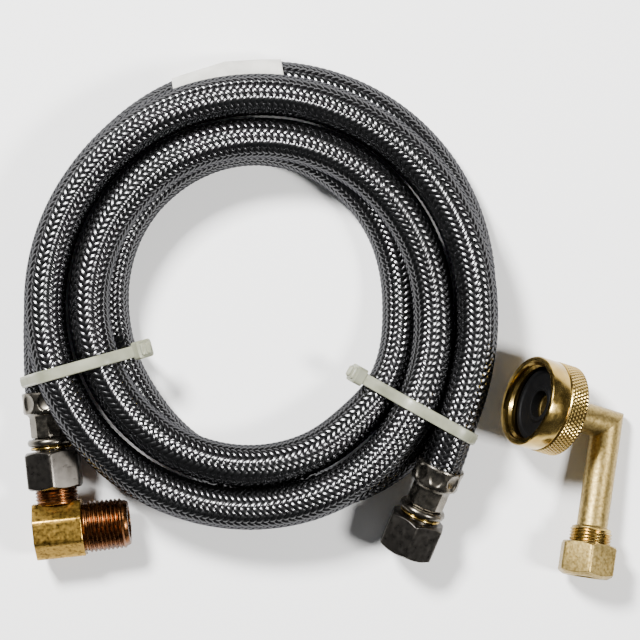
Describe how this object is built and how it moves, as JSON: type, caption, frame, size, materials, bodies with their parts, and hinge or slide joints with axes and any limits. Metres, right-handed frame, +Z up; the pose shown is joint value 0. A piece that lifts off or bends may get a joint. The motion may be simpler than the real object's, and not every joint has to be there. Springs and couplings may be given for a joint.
{
  "type": "braided supply line",
  "caption": "Coiled wire-braided water supply hose held by cable ties, with crimped ends, swivel nuts, a pipe-thread elbow and a loose garden-hose elbow adapter.",
  "frame": {"origin": "centre of the whole kit's plan box, on the surface it lies on", "axes": "+Z up from the surface the kit lies on; +X from the coil towards the loose adapter; -Y towards the side where both hose ends point"},
  "size_m": [0.2016, 0.1732, 0.0338],
  "materials": {
    "braid": "woven bright stainless wire",
    "polymer_tube": "black extruded polymer",
    "nickel_plate": "nickel plate, satin",
    "dark_nickel": "dark nickel plate, machined",
    "brass": "machined brass",
    "cast_brass": "tumbled forged brass, pale",
    "rubber": "black moulded rubber",
    "nylon": "natural nylon, translucent",
    "paper": "uncoated paper"
  },
  "bodies": {
    "hose": {"braid_sleeve": "braid", "inner_tube": "polymer_tube", "paper_label": "paper", "crimp_ferrule_a": "nickel_plate", "crimp_ferrule_b": "nickel_plate", "stem_a": "nickel_plate", "stem_b": "nickel_plate", "cone_washer_a": "rubber", "cone_washer_b": "rubber", "cable_tie_a": "nylon", "cable_tie_b": "nylon"},
    "nut_a": {"swivel_nut_a": "dark_nickel"},
    "nut_b": {"swivel_nut_b": "dark_nickel"},
    "elbow": {"pipe_elbow": "brass"},
    "adapter": {"adapter_elbow": "cast_brass"},
    "hose_nut": {"hose_nut": "brass", "hose_washer": "rubber"},
    "sleeve": {"compression_sleeve": "brass"},
    "compression_nut": {"compression_nut": "brass"}
  },
  "joints": [
    {"name": "nut_a_turn", "type": "hinge", "parent": "hose", "child": "nut_a", "pos_m": [-0.09152, -0.02351, 0.01074], "axis": [-0.1052, 0.9944, -0.0078], "range_deg": [0, 2520]},
    {"name": "elbow_draw", "type": "slide", "parent": "hose", "child": "elbow", "axis": [0.1052, -0.9944, 0.0078], "range_m": [0, 0.0074]},
    {"name": "nut_b_swivel", "type": "hinge", "parent": "hose", "child": "nut_b", "pos_m": [0.03946, -0.04717, 0.01864], "axis": [-0.3713, -0.8991, -0.2318], "continuous": true},
    {"name": "adapter_lift", "type": "slide", "parent": "hose", "child": "adapter", "axis": [0, 0, 1], "range_m": [0, 0.08]},
    {"name": "hose_nut_swivel", "type": "hinge", "parent": "adapter", "child": "hose_nut", "pos_m": [0.09502, -0.03475, 0.00542], "axis": [-0.8498, 0.2598, 0.4586], "continuous": true},
    {"name": "sleeve_draw", "type": "slide", "parent": "adapter", "child": "sleeve", "axis": [-0.1553, -0.9803, 0.1219], "range_m": [0, 0.0074]},
    {"name": "compression_nut_turn", "type": "hinge", "parent": "sleeve", "child": "compression_nut", "pos_m": [0.09502, -0.03475, 0.00542], "axis": [-0.1553, -0.9803, 0.1219], "range_deg": [0, 2520]}
  ],
  "couplings": [
    {"joint": "nut_a_turn", "follows": "elbow_draw", "rad_per_m": 5936.9},
    {"joint": "compression_nut_turn", "follows": "sleeve_draw", "rad_per_m": 5936.9}
  ]
}
